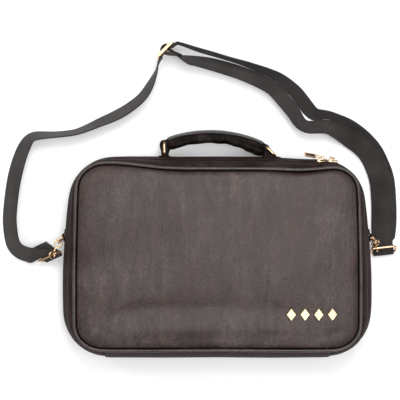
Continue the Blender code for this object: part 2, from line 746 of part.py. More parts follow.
def smooth_rows(rows, steps):
    """Read a smooth curve through the rows of a table, with some steps between each two."""
    smooth = []
    for index in range(len(rows) - 1):
        before = rows[max(index - 1, 0)]
        after = rows[min(index + 2, len(rows) - 1)]
        for step in range(steps):
            t = step / steps
            point = []
            for p, a, b, n in zip(before, rows[index], rows[index + 1], after):
                slope, end_slope = (b - p) / 2, (n - a) / 2
                point.append((2 * t ** 3 - 3 * t ** 2 + 1) * a + (t ** 3 - 2 * t ** 2 + t) * slope
                             + (3 * t ** 2 - 2 * t ** 3) * b + (t ** 3 - t ** 2) * end_slope)
            smooth.append(tuple(point))
    smooth.append(rows[-1])
    return smooth


def run_stations(table, edge_side):
    """Centre and width direction along one free run of webbing.

    The edge on edge_side (1 is the right of the way the table runs) is raised by the lean, and
    the lower edge rests on the floor or is held above it by the lift.
    """
    rows = smooth_rows(table, RUN_STEPS)
    centres = [Vector((row[0] * BAG_WIDTH, row[1] * BAG_HEIGHT)) for row in rows]
    stations = []
    for index, (row, centre) in enumerate(zip(rows, centres)):
        ahead = centres[min(index + 1, len(rows) - 1)] - centres[max(index - 1, 0)]
        ahead.normalize()
        side = Vector((ahead.y, -ahead.x)) * edge_side
        lean = math.radians(row[2])
        wide = Vector((side.x * math.cos(lean), side.y * math.cos(lean), math.sin(lean)))
        rest = abs(math.sin(lean)) * STRAP_WIDTH / 2 + abs(math.cos(lean)) * STRAP_THICKNESS / 2
        height = rest + row[3] * STRAP_WIDTH + FLOOR_GAP
        stations.append((Vector((centre.x, centre.y, height)), wide))
    return stations


def fold_stations(bar, wide, away, radius, reach):
    """Webbing folded round a bar: its pairs of (along, out) start on the lower face."""
    close = STRAP_THICKNESS / 2 + SEWN_GAP
    pairs = [(reach, -close), (radius * 3.2, -close), (radius * 1.2, -radius * 0.9)]
    for angle in range(270, 89, -36):
        turn = math.radians(angle)
        pairs.append((math.cos(turn) * radius, math.sin(turn) * radius))
    pairs += [(radius * 1.2, radius * 0.9), (radius * 3.2, close)]
    out = wide.cross(away).normalized()
    return [(bar + away * u + out * v, wide) for u, v in pairs]


def build_strap(slider, along, outward):
    """One webbing from the left ring through the slider, round the right ring and back."""
    up = Vector((0, 0, 1))
    radius = RING_WIRE + CLEARANCE + STRAP_THICKNESS / 2
    wide = Vector(STRAP_BAR_WAY["left"]).normalized()
    away = Vector(STRAP_LEAVES["left"])
    away = (away - wide * away.dot(wide)).normalized()
    stations = fold_stations(strap_fold("left"), wide, away, radius, SEWN_LENGTH)
    stations += run_stations(LEFT_RUN, 1)
    height = STRAP_WIDTH / 2 + SLIDER_BAR + CLEARANCE + FLOOR_GAP
    for run, rise in SLIDER_PASS:
        spot = slider + along * run * SLIDER_PITCH + outward * rise * SLIDER_BAR
        stations.append((Vector((spot.x, spot.y, height)), up))
    stations += run_stations(OUTER_RUN, -1)
    wide = Vector(STRAP_BAR_WAY["right"]).normalized()
    away = Vector(STRAP_LEAVES["right"])
    away = (away - wide * away.dot(wide)).normalized()
    stations += fold_stations(strap_fold("right"), wide, away, radius, radius * 5)
    inner = [(centre, -side) for centre, side in run_stations(INNER_RUN, 1)]
    stations += list(reversed(inner))
    loop_radius = SLIDER_BAR * 0.72 + CLEARANCE + STRAP_THICKNESS / 2
    bar = Vector((slider.x, slider.y, height))
    away = Vector(STRAP_LEAVES["slider"]).normalized()
    loop = fold_stations(bar, -up, away, loop_radius, SEWN_LENGTH * 0.8)
    stations += list(reversed(loop))
    half = STRAP_WIDTH / 2
    rows = [[centre - side * half, centre + side * half] for centre, side in stations]
    strap = skin("shoulder_strap", rows, "webbing", STRAP_THICKNESS, closed=False)
    strap.modifiers["wall"].offset = 0
    strap.modifiers["wall"].use_even_offset = False


def build_ornament():
    """A row of plain raised lozenges and bars, each curved to the panel under it."""
    rows = panel_rows(BAG_DEPTH - SEAM_DROP, True)[0]
    half_width = max(point.x for point in rows[0])
    half_height = max(point.y for point in rows[0])
    pitch = ORNAMENT_ROW / ORNAMENT_COUNT
    middle_x = BAG_WIDTH / 2 - ORNAMENT_INSET[0]
    middle_y = ORNAMENT_INSET[1] - BAG_HEIGHT / 2
    for index in range(ORNAMENT_COUNT):
        x = middle_x + (index - (ORNAMENT_COUNT - 1) / 2) * pitch
        shape = bmesh.new()
        ring = []
        for step in range(ORNAMENT_SIDES):
            turn = math.tau * step / ORNAMENT_SIDES
            u = x + math.cos(turn) * abs(math.cos(turn)) * pitch * 0.40
            v = middle_y + math.sin(turn) * abs(math.sin(turn)) * ORNAMENT_HEIGHT / 2
            ring.append((u, v))
        levels = []
        for lift, scale in ((ORNAMENT_LIFT, 1.0), (ORNAMENT_LIFT + ORNAMENT_THICKNESS, 0.8)):
            level = []
            for u, v in ring:
                u = x + (u - x) * scale
                v = middle_y + (v - middle_y) * scale
                z = BAG_DEPTH - SEAM_DROP + panel_rise(u / half_width, v / half_height) + lift
                level.append(shape.verts.new((u, v, z)))
            levels.append(level)
        for step in range(ORNAMENT_SIDES):
            after = (step + 1) % ORNAMENT_SIDES
            shape.faces.new((levels[0][step], levels[0][after], levels[1][after], levels[1][step]))
        for level in levels:
            z = sum(vertex.co.z for vertex in level) / len(level)
            centre = shape.verts.new((x, middle_y, z))
            for step in range(ORNAMENT_SIDES):
                shape.faces.new((level[step], level[(step + 1) % ORNAMENT_SIDES], centre))
        finish_mesh("ornament_" + str(index + 1), shape, "gold", smooth=False)


def build_bag():
    clear_scene()
    build_body()
    build_panel("front_panel", BAG_DEPTH - SEAM_DROP, True)
    build_panel("back_panel", LEATHER, False)
    build_whole_handle()
    build_side("left", -1)
    build_side("right", 1)
    build_zip_pair()
    build_ornament()
    build_strap(*build_slider())


build_bag()
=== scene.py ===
import json
import math
import bpy
import bmesh
from mathutils import Matrix, Vector, noise
from mathutils.bvhtree import BVHTree

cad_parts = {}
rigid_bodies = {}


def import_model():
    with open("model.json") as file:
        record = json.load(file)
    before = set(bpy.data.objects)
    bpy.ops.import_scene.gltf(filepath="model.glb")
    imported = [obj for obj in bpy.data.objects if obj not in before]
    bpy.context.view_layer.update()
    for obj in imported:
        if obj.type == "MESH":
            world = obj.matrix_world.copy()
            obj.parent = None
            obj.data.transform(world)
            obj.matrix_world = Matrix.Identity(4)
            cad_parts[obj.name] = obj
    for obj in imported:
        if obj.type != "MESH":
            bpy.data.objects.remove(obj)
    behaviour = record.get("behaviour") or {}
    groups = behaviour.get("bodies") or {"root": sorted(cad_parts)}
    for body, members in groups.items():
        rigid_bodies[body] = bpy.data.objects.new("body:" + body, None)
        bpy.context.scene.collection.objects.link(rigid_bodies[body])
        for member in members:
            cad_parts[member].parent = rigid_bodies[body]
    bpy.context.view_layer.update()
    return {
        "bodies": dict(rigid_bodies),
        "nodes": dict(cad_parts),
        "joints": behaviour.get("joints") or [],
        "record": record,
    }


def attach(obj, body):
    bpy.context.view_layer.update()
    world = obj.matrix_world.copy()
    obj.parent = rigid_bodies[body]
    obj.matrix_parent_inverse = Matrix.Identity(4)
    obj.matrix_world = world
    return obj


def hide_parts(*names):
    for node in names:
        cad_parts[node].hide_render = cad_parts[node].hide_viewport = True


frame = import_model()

mm = 0.001


# Helpers

def deselectAll():
    if bpy.context.object and bpy.context.object.mode != "OBJECT":
        bpy.ops.object.mode_set(mode="OBJECT")
    bpy.ops.object.select_all(action="DESELECT")


def makeActive(piece):
    deselectAll()
    piece.hide_set(False)
    piece.select_set(True)
    bpy.context.view_layer.objects.active = piece


def applyModifier(piece, kind, **values):
    makeActive(piece)
    modifier = piece.modifiers.new(kind.lower(), kind)
    for key, value in values.items():
        setattr(modifier, key, value)
    bpy.ops.object.modifier_apply(modifier=modifier.name)


def meshPiece(name, points, faces):
    mesh = bpy.data.meshes.new(name)
    mesh.from_pydata([tuple(p) for p in points], [], faces)
    mesh.update()
    piece = bpy.data.objects.new(name, mesh)
    bpy.context.scene.collection.objects.link(piece)
    return piece


def fixNormals(piece):
    makeActive(piece)
    bpy.ops.object.mode_set(mode="EDIT")
    bpy.ops.mesh.select_all(action="SELECT")
    bpy.ops.mesh.normals_make_consistent(inside=False)
    bpy.ops.object.mode_set(mode="OBJECT")


def finishPiece(piece, material, node=None, body="bag", smoothAngle=60):
    makeActive(piece)
    piece.data.materials.clear()
    piece.data.materials.append(material)
    bpy.ops.object.shade_smooth_by_angle(angle=math.radians(smoothAngle))
    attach(piece, body)
    if node:
        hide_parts(*([node] if isinstance(node, str) else node))
    return piece


# Edges sharper than the angle keep their place when the piece is subdivided
def holdRims(piece, angle):
    shape = bmesh.new()
    shape.from_mesh(piece.data)
    crease = shape.edges.layers.float.get("crease_edge") or shape.edges.layers.float.new("crease_edge")
    for edge in shape.edges:
        if edge.calc_face_angle(0.0) > math.radians(angle):
            edge[crease] = 0.9
    shape.to_mesh(piece.data)
    shape.free()


# A fine copy of a CAD solid: doubles merged, triangles paired, then subdivided
def fineCopy(node, name, levels=2, rimAngle=60):
    source = bpy.data.objects[node]
    piece = source.copy()
    piece.data = source.data.copy()
    piece.name = name
    bpy.context.scene.collection.objects.link(piece)
    makeActive(piece)
    bpy.ops.object.mode_set(mode="EDIT")
    bpy.ops.mesh.select_all(action="SELECT")
    bpy.ops.mesh.remove_doubles(threshold=0.00001)
    bpy.ops.mesh.tris_convert_to_quads(face_threshold=math.radians(50), shape_threshold=math.radians(60))
    bpy.ops.object.mode_set(mode="OBJECT")
    if rimAngle:
        holdRims(piece, rimAngle)
    if levels:
        applyModifier(piece, "SUBSURF", levels=levels, render_levels=levels)
    return piece


# Move each point along its normal by a height that a function gives
def pressShape(piece, heightAt):
    mesh = piece.data
    moved = [(v.co + v.normal * heightAt(v.co, v.normal)) for v in mesh.vertices]
    for vertex, place in zip(mesh.vertices, moved):
        vertex.co = place
    mesh.update()


# How much painted shade each point gets for its nearness to a seam, from 0 to 1, kept for the leather
def markSeamShade(piece, depthAt):
    layer = piece.data.attributes.new("seam", "FLOAT", "POINT")
    for vertex in piece.data.vertices:
        layer.data[vertex.index].value = depthAt(vertex.co)


def smoothStep(value):
    value = max(0.0, min(1.0, value))
    return value * value * (3 - 2 * value)


print("helpers ready")


# Camera at the photograph's angle, straight above, and the studio

studio = {
    "cameraPlace": (-0.0205, 0.0677, 1.5),
    "lens": 110,
    "floorSize": 4.0,
    "floorGrey": 0.90,
    "floorGlow": 0.15,
    "skyStrength": 0.85,
    "skyStops": ((0.0, 0.10), (0.30, 0.22), (0.75, 0.85), (1.0, 1.0)),
    "lamps": (
        # name, place, size, power
        ("topSoft", (0.10, 0.80, 1.45), 0.7, 11.0),
        ("overSoft", (0.35, -0.10, 1.9), 0.8, 13.0),
        ("leftRim", (-1.2, 0.55, 0.7), 0.4, 3.0),
    ),
}


def buildStudio():
    scene = bpy.context.scene
    cameraData = bpy.data.cameras.new("camera")
    cameraData.lens = studio["lens"]
    cameraData.sensor_width = 36
    camera = bpy.data.objects.new("camera", cameraData)
    camera.location = studio["cameraPlace"]
    scene.collection.objects.link(camera)
    scene.camera = camera
    bpy.ops.mesh.primitive_plane_add(size=studio["floorSize"], location=(0, 0, -0.0002))
    floor = bpy.context.object
    floor.name = "floor"
    paper = bpy.data.materials.new("paper")
    paper.use_nodes = True
    shader = paper.node_tree.nodes["Principled BSDF"]
    grey = studio["floorGrey"]
    shader.inputs["Base Color"].default_value = (grey, grey, grey, 1)
    shader.inputs["Roughness"].default_value = 0.9
    shader.inputs["Specular IOR Level"].default_value = 0.1
    shader.inputs["Emission Color"].default_value = (1, 1, 1, 1)
    shader.inputs["Emission Strength"].default_value = studio["floorGlow"]
    floor.data.materials.append(paper)
    world = bpy.data.worlds.new("sky")
    world.use_nodes = True
    tree = world.node_tree
    back = tree.nodes["Background"]
    back.inputs["Strength"].default_value = studio["skyStrength"]
    way = tree.nodes.new("ShaderNodeTexCoord")
    split = tree.nodes.new("ShaderNodeSeparateXYZ")
    ramp = tree.nodes.new("ShaderNodeValToRGB")
    while len(ramp.color_ramp.elements) < len(studio["skyStops"]):
        ramp.color_ramp.elements.new(0.5)
    for element, (place, grey) in zip(ramp.color_ramp.elements, studio["skyStops"]):
        element.position = place
        element.color = (grey, grey, grey, 1)
    tree.links.new(way.outputs["Generated"], split.inputs[0])
    tree.links.new(split.outputs["Z"], ramp.inputs["Fac"])
    tree.links.new(ramp.outputs["Color"], back.inputs["Color"])
    scene.world = world
    for name, place, size, power in studio["lamps"]:
        lampData = bpy.data.lights.new(name, "AREA")
        lampData.size = size
        lampData.energy = power
        lamp = bpy.data.objects.new(name, lampData)
        lamp.location = place
        aim = Vector((0, 0.03, 0)) - Vector(place)
        lamp.rotation_euler = aim.to_track_quat("-Z", "Y").to_euler()
        scene.collection.objects.link(lamp)
    scene.view_settings.view_transform = "Standard"


deselectAll()
buildStudio()
print("studio ready")


# Shared shader effects, as node groups

def newGroup(name, inputs, outputs):
    group = bpy.data.node_groups.new(name, "ShaderNodeTree")
    for label, kind, value in inputs:
        socket = group.interface.new_socket(name=label, in_out="INPUT", socket_type=kind)
        if value is not None:
            socket.default_value = value
    for label, kind in outputs:
        group.interface.new_socket(name=label, in_out="OUTPUT", socket_type=kind)
    start = group.nodes.new("NodeGroupInput")
    end = group.nodes.new("NodeGroupOutput")
    return group, start, end


def addNode(tree, kind, values=None, **settings):
    node = tree.nodes.new(kind)
    for key, value in settings.items():
        setattr(node, key, value)
    for key, value in (values or {}).items():
        node.inputs[key].default_value = value
    return node


def mathNode(tree, operation, first, second=None):
    node = tree.nodes.new("ShaderNodeMath")
    node.operation = operation
    for index, value in enumerate((first, second)):
        if value is None:
            continue
        if isinstance(value, (int, float)):
            node.inputs[index].default_value = value
        else:
            tree.links.new(value, node.inputs[index])
    return node.outputs[0]


def rampNode(tree, source, stops):
    ramp = tree.nodes.new("ShaderNodeValToRGB")
    elements = ramp.color_ramp.elements
    while len(elements) < len(stops):
        elements.new(0.5)
    for element, (place, colour) in zip(elements, stops):
        element.position = place
        element.color = (*colour, 1)
    tree.links.new(source, ramp.inputs["Fac"])
    return ramp.outputs["Color"]


# Grain of soft leather: fine pebbles, faint streaks along the hide and slow patches of tone
def buildGrain():
    group, start, end = newGroup(
        "leatherGrain",
        (("Vector", "NodeSocketVector", None), ("Pebble Scale", "NodeSocketFloat", 700.0),
         ("Streak Scale", "NodeSocketFloat", 90.0), ("Patch Scale", "NodeSocketFloat", 14.0)),
        (("Height", "NodeSocketFloat"), ("Patch", "NodeSocketFloat"), ("Mottle", "NodeSocketFloat")))
    link = group.links.new
    pebble = addNode(group, "ShaderNodeTexVoronoi", {"Randomness": 1.0}, feature="SMOOTH_F1")
    link(start.outputs["Vector"], pebble.inputs["Vector"])
    link(start.outputs["Pebble Scale"], pebble.inputs["Scale"])
    stretch = addNode(group, "ShaderNodeMapping", {"Scale": (1.0, 0.22, 1.0), "Rotation": (0, 0, 0.12)})
    link(start.outputs["Vector"], stretch.inputs["Vector"])
    streak = addNode(group, "ShaderNodeTexNoise", {"Detail": 6.0, "Roughness": 0.68, "Distortion": 0.6})
    link(stretch.outputs["Vector"], streak.inputs["Vector"])
    link(start.outputs["Streak Scale"], streak.inputs["Scale"])
    fine = addNode(group, "ShaderNodeTexNoise", {"Scale": 330.0, "Detail": 6.0, "Roughness": 0.7})
    link(start.outputs["Vector"], fine.inputs["Vector"])
    patch = addNode(group, "ShaderNodeTexNoise", {"Detail": 5.0, "Roughness": 0.6, "Distortion": 0.4})
    link(start.outputs["Vector"], patch.inputs["Vector"])
    link(start.outputs["Patch Scale"], patch.inputs["Scale"])
    height = mathNode(group, "ADD", mathNode(group, "MULTIPLY", pebble.outputs["Distance"], 0.40),
                      mathNode(group, "MULTIPLY", fine.outputs["Fac"], 0.9))
    height = mathNode(group, "ADD", height, mathNode(group, "MULTIPLY", streak.outputs["Fac"], 1.1))
    mottle = mathNode(group, "ADD", mathNode(group, "MULTIPLY", streak.outputs["Fac"], 0.5),
                      mathNode(group, "MULTIPLY", fine.outputs["Fac"], 0.5))
    link(height, end.inputs["Height"])
    link(patch.outputs["Fac"], end.inputs["Patch"])
    link(mottle, end.inputs["Mottle"])
    return group


grain = buildGrain()


# tones: dark, middle and light; worn: how far the grain lightens; grainSize: pebbles, streaks, patches
leathers = {
    "panelLeather": {
        "tones": ((0.026, 0.009, 0.006), (0.040, 0.024, 0.021), (0.060, 0.043, 0.040)),
        "worn": (1.9, 1.8, 1.8),
        "grainSize": (700.0, 90.0, 14.0), "bump": 0.8, "roughness": (0.42, 0.58), "gloss": 0.5},
    # The gusset tones are darker than the panel's as painted shade of the side walls; its rougher, less
    # glossy finish is its own
    "shadedGussetLeather": {
        "tones": ((0.018, 0.008, 0.006), (0.026, 0.015, 0.013), (0.036, 0.024, 0.022)),
        "worn": (1.4, 1.4, 1.4),
        "grainSize": (700.0, 120.0, 25.0), "bump": 0.4, "roughness": (0.6, 0.72), "gloss": 0.10},
    "trimLeather": {
        "tones": ((0.004, 0.0025, 0.002), (0.008, 0.005, 0.004), (0.018, 0.012, 0.010)),
        "worn": (1.9, 1.8, 1.8),
        "grainSize": (800.0, 160.0, 60.0), "bump": 0.7, "roughness": (0.22, 0.38), "gloss": 0.05},
    "pipingLeather": {
        "tones": ((0.030, 0.019, 0.017), (0.042, 0.030, 0.028), (0.056, 0.043, 0.041)),
        "worn": (1.4, 1.4, 1.4),
        "grainSize": (700.0, 120.0, 25.0), "bump": 0.35, "roughness": (0.32, 0.42), "gloss": 0.5},
}
# Colour of the painted shade laid into the grooves beside the piping and the zip, and at the foot of the rear
# gusset
seamShadeColour = (0.004, 0.0022, 0.0018, 1)


def makeLeather(name):
    look = leathers[name]
    tones = look["tones"]
    material = bpy.data.materials.new(name)
    material.use_nodes = True
    tree = material.node_tree
    shader = tree.nodes["Principled BSDF"]
    place = addNode(tree, "ShaderNodeTexCoord")
    effect = addNode(tree, "ShaderNodeGroup")
    effect.node_tree = grain
    for label, value in zip(("Pebble Scale", "Streak Scale", "Patch Scale"), look["grainSize"]):
        effect.inputs[label].default_value = value
    tree.links.new(place.outputs["Object"], effect.inputs["Vector"])
    colour = rampNode(tree, effect.outputs["Patch"], ((0.36, tones[0]), (0.50, tones[1]), (0.64, tones[2])))
    dark = addNode(tree, "ShaderNodeMix", data_type="RGBA", blend_type="MULTIPLY")
    dark.inputs["Factor"].default_value = 1.0
    flecks = ((0.37, (0.40, 0.37, 0.37)), (0.51, (1, 1, 1)), (0.66, look["worn"]))
    speckle = rampNode(tree, effect.outputs["Mottle"], flecks)
    tree.links.new(colour, dark.inputs["A"])
    tree.links.new(speckle, dark.inputs["B"])
    # Painted shade: the leather colour is mixed towards the shade colour as the seam attribute rises
    seam = addNode(tree, "ShaderNodeAttribute", attribute_name="seam")
    seamShadeMix = addNode(tree, "ShaderNodeMix", data_type="RGBA")
    seamShadeMix.inputs["B"].default_value = seamShadeColour
    tree.links.new(mathNode(tree, "MINIMUM", seam.outputs["Fac"], 0.95), seamShadeMix.inputs["Factor"])
    tree.links.new(dark.outputs["Result"], seamShadeMix.inputs["A"])
    tree.links.new(seamShadeMix.outputs["Result"], shader.inputs["Base Color"])
    low, high = look["roughness"]
    rough = addNode(tree, "ShaderNodeMapRange",
                    {"From Min": 0.35, "From Max": 0.65, "To Min": low, "To Max": high})
    tree.links.new(effect.outputs["Patch"], rough.inputs["Value"])
    tree.links.new(rough.outputs["Result"], shader.inputs["Roughness"])
    relief = addNode(tree, "ShaderNodeBump", {"Strength": look["bump"], "Distance": 0.0007})
    tree.links.new(effect.outputs["Height"], relief.inputs["Height"])
    tree.links.new(relief.outputs["Normal"], shader.inputs["Normal"])
    shader.inputs["Specular IOR Level"].default_value = look["gloss"]
    return material


panelLeather = makeLeather("panelLeather")
shadedGussetLeather = makeLeather("shadedGussetLeather")
trimLeather = makeLeather("trimLeather")
pipingLeather = makeLeather("pipingLeather")
print("leather ready")


# Gold-toned cast metal with faint tool marks, dark fabrics and thread

def makeMetal(name, colour, roughness):
    material = bpy.data.materials.new(name)
    material.use_nodes = True
    tree = material.node_tree
    shader = tree.nodes["Principled BSDF"]
    shader.inputs["Metallic"].default_value = 1.0
    place = addNode(tree, "ShaderNodeTexCoord")
    cloud = addNode(tree, "ShaderNodeTexNoise", {"Scale": 90.0, "Detail": 4.0})
    tree.links.new(place.outputs["Object"], cloud.inputs["Vector"])
    deep = tuple(c * s for c, s in zip(colour, (0.82, 0.74, 0.62)))
    tone = rampNode(tree, cloud.outputs["Fac"], ((0.30, deep), (0.62, colour)))
    tree.links.new(tone, shader.inputs["Base Color"])
    marks = addNode(tree, "ShaderNodeTexNoise", {"Scale": 900.0, "Detail": 3.0})
    tree.links.new(place.outputs["Object"], marks.inputs["Vector"])
    rough = addNode(tree, "ShaderNodeMapRange", {"From Min": 0.3, "From Max": 0.7,
                                                 "To Min": roughness * 0.75, "To Max": roughness * 1.35})
    tree.links.new(cloud.outputs["Fac"], rough.inputs["Value"])
    tree.links.new(rough.outputs["Result"], shader.inputs["Roughness"])
    relief = addNode(tree, "ShaderNodeBump", {"Strength": 0.06, "Distance": 0.0002})
    tree.links.new(marks.outputs["Fac"], relief.inputs["Height"])
    tree.links.new(relief.outputs["Normal"], shader.inputs["Normal"])
    return material


# Webbing woven in fine ribs, with a firm edge on each side; UV in millimetres
def makeWebbing(name, tones, width):
    material = bpy.data.materials.new(name)
    material.use_nodes = True
    tree = material.node_tree
    link = tree.links.new
    shader = tree.nodes["Principled BSDF"]
    uv = addNode(tree, "ShaderNodeUVMap", uv_map="weave")
    split = addNode(tree, "ShaderNodeSeparateXYZ")
    link(uv.outputs["UV"], split.inputs[0])
    across, along = split.outputs["X"], split.outputs["Y"]
    yarn = mathNode(tree, "SINE", mathNode(tree, "MULTIPLY", across, math.tau / 1.25))
    zigzag = mathNode(tree, "PINGPONG", across, width / 8)
    twill = mathNode(tree, "ADD", mathNode(tree, "MULTIPLY", zigzag, 0.9), along)
    rib = mathNode(tree, "SINE", mathNode(tree, "MULTIPLY", twill, math.tau / 1.05))
    weave = mathNode(tree, "ADD", mathNode(tree, "MULTIPLY", yarn, 0.28),
                     mathNode(tree, "MULTIPLY", rib, 0.5))
    middle = mathNode(tree, "ABSOLUTE", mathNode(tree, "SUBTRACT", across, width / 2))
    edge = mathNode(tree, "GREATER_THAN", middle, width / 2 - 1.5)
    edgeRib = mathNode(tree, "SINE", mathNode(tree, "MULTIPLY", along, math.tau / 0.8))
    pick = addNode(tree, "ShaderNodeMix")
    link(edge, pick.inputs["Factor"])
    link(weave, pick.inputs["A"])
    link(edgeRib, pick.inputs["B"])
    height = pick.outputs["Result"]
    place = addNode(tree, "ShaderNodeTexCoord")
    fuzz = addNode(tree, "ShaderNodeTexNoise", {"Scale": 800.0, "Detail": 3.0})
    link(place.outputs["Object"], fuzz.inputs["Vector"])
    slow = addNode(tree, "ShaderNodeTexNoise", {"Scale": 25.0, "Detail": 2.0})
    link(place.outputs["Object"], slow.inputs["Vector"])
    tone = mathNode(tree, "ADD", mathNode(tree, "MULTIPLY", height, 0.16),
                    mathNode(tree, "MULTIPLY", fuzz.outputs["Fac"], 0.4))
    tone = mathNode(tree, "ADD", tone, mathNode(tree, "MULTIPLY", slow.outputs["Fac"], 0.55))
    colour = rampNode(tree, tone, ((0.28, tones[0]), (0.48, tones[1]), (0.72, tones[2])))
    link(colour, shader.inputs["Base Color"])
    shader.inputs["Roughness"].default_value = 0.82
    shader.inputs["Specular IOR Level"].default_value = 0.25
    shader.inputs["Sheen Weight"].default_value = 0.12
    shader.inputs["Sheen Roughness"].default_value = 0.5
    relief = addNode(tree, "ShaderNodeBump", {"Strength": 0.75, "Distance": 0.00035})
    raised = mathNode(tree, "ADD", height, mathNode(tree, "MULTIPLY", fuzz.outputs["Fac"], 0.8))
    link(raised, relief.inputs["Height"])
    link(relief.outputs["Normal"], shader.inputs["Normal"])
    return material


# Plain woven or waxed goods too small to show a pattern: tape, teeth, thread
def makeFine(name, tones, scale, roughness, bump):
    material = bpy.data.materials.new(name)
    material.use_nodes = True
    tree = material.node_tree
    shader = tree.nodes["Principled BSDF"]
    place = addNode(tree, "ShaderNodeTexCoord")
    grit = addNode(tree, "ShaderNodeTexNoise", {"Scale": scale, "Detail": 3.0})
    tree.links.new(place.outputs["Object"], grit.inputs["Vector"])
    colour = rampNode(tree, grit.outputs["Fac"], ((0.35, tones[0]), (0.65, tones[1])))
    tree.links.new(colour, shader.inputs["Base Color"])
    shader.inputs["Roughness"].default_value = roughness
    relief = addNode(tree, "ShaderNodeBump", {"Strength": bump, "Distance": 0.0002})
    tree.links.new(grit.outputs["Fac"], relief.inputs["Height"])
    tree.links.new(relief.outputs["Normal"], shader.inputs["Normal"])
    return material


goldMetal = makeMetal("goldMetal", (0.86, 0.58, 0.36), 0.20)
paleGold = makeMetal("paleGold", (0.66, 0.55, 0.36), 0.38)
webbing = makeWebbing("webbing", ((0.012, 0.009, 0.009), (0.033, 0.027, 0.025), (0.066, 0.057, 0.054)),
                      25.0)
tapeFabric = makeFine("tapeFabric", ((0.010, 0.009, 0.010), (0.028, 0.026, 0.028)), 900.0, 0.85, 0.5)
teethPlastic = makeFine("teethPlastic", ((0.012, 0.010, 0.010), (0.030, 0.026, 0.026)), 300.0, 0.38, 0.1)
inlayDark = makeFine("inlayDark", ((0.006, 0.004, 0.004), (0.016, 0.011, 0.010)), 700.0, 0.35, 0.2)
threadDark = makeFine("threadDark", ((0.030, 0.018, 0.015), (0.070, 0.048, 0.042)), 1500.0, 0.60, 0.4)
print("materials ready")


# Body: the leather walls, each a fine copy of its solid, pressed into soft folds

leatherWalls = {
    "front_panel": {"levels": 3, "wave": 1.5, "waveScale": 9.0, "ripple": 0.35, "rippleScale": 38.0},
    "back_panel": {"levels": 2, "wave": 0.0, "waveScale": 10.0, "ripple": 0.0, "rippleScale": 40.0},
    "rear_gusset": {"levels": 2, "wave": 0.5, "waveScale": 16.0, "ripple": 0.25, "rippleScale": 60.0,
                    "zip": 0.4},
    "front_gusset": {"levels": 2, "wave": 0.3, "waveScale": 16.0, "ripple": 0.15, "rippleScale": 60.0,
                     "groove": 1.5, "zip": 0.5},
    "base_gusset": {"levels": 2, "wave": 0.6, "waveScale": 16.0, "ripple": 0.25, "rippleScale": 50.0},
    "rear_piping": {"levels": 1, "wave": 0.15, "waveScale": 40.0, "ripple": 0.1, "rippleScale": 120.0},
    "front_piping": {"levels": 1, "wave": 0.15, "waveScale": 40.0, "ripple": 0.1, "rippleScale": 120.0,
                     "pinch": 0.9},
}

# Where the seams of the gussets lie, in metres above the floor, and how each fades; reaches of the
# painted shade beside the piping in millimetres, and how dark the painted shade is by the zip and near the
# floor
seams = {"frontRim": 0.0622, "rimFade": 0.0025, "zipMiddle": 0.047, "frontLip": 0.0535, "rearLip": 0.0415,
         "lipFade": 0.0030, "bulge": 0.9, "bulgeLevel": 0.0585, "bulgeWidth": 0.003, "pinchPlace": 0.0016,
         "pinchWidth": 0.0032, "pinchBelow": -0.095, "panelReach": 3.4, "gussetReach": 3.2,
         "frontLipShade": 0.9, "rearLipShade": 0.8, "floorShadeLevel": 0.0075, "floorShadeFade": 0.004}

# Creases pressed into the front: start, end, depth and half width in millimetres
frontCreases = (
    ((-172, 62), (-150, 20), 0.5, 4), ((-160, 80), (-110, 92), 0.5, 5), ((168, 70), (150, 30), 0.5, 5),
    ((120, 96), (160, 84), 0.45, 4), ((-150, -78), (-118, -92), 0.6, 4), ((150, -84), (118, -95), 0.5, 4),
    ((-30, 88), (30, 84), 0.4, 6), ((40, -88), (90, -92), 0.4, 5), ((-90, 20), (-30, 34), 0.35, 7),
    ((10, -10), (60, 6), 0.3, 6), ((-160, -58), (158, -64), 1.1, 9), ((-158, -84), (150, -85), -0.8, 8),
)


def creaseDepth(point, creases):
    depth = 0.0
    for (x1, y1), (x2, y2), deep, width in creases:
        start = Vector((x1, y1)) * mm
        run = Vector((x2, y2)) * mm - start
        along = max(0.0, min(1.0, (point.to_2d() - start).dot(run) / run.length_squared))
        away = (point.to_2d() - start - run * along).length
        fade = smoothStep(min(along, 1 - along) * 3 + 0.1)
        depth += deep * mm * fade * math.exp(-(away / (width * mm)) ** 2)
    return depth


def treeOf(name):
    mesh = bpy.data.objects[name].data
    return BVHTree.FromPolygons([v.co for v in mesh.vertices], [p.vertices for p in mesh.polygons])


pipingTree = treeOf("front_piping")


# How much painted shade a point gets for its nearness to the front piping, fading out at the reach in
# millimetres
def pipingShade(point, reach):
    away = pipingTree.find_nearest(point)[3]
    return smoothStep(1 - away / (reach * mm))


# Past this far from its middle the front keeps the plain solid's shape
frontCalm = (0.168, 0.107)


def frontHeight(point, normal, wall):
    if normal.z < 0.3:
        return 0.0
    halfWidth, halfHeight = frontCalm
    rim = (smoothStep((1 - abs(point.x) / halfWidth) * 6)
           * smoothStep((1 - abs(point.y) / halfHeight) * 5))
    soft = noise.noise(point * wall["waveScale"]) * wall["wave"] * mm
    small = noise.noise(point * wall["rippleScale"] + Vector((4, 1, 2))) * wall["ripple"] * mm
    return rim * (soft + small - creaseDepth(point, frontCreases))


# How near a point of the gusset is to the edge that is turned in beside the zip
def zipLip(point):
    if point.z > seams["zipMiddle"]:
        return smoothStep((seams["frontLip"] - point.z) / seams["lipFade"])
    return smoothStep((point.z - seams["rearLip"]) / seams["lipFade"])


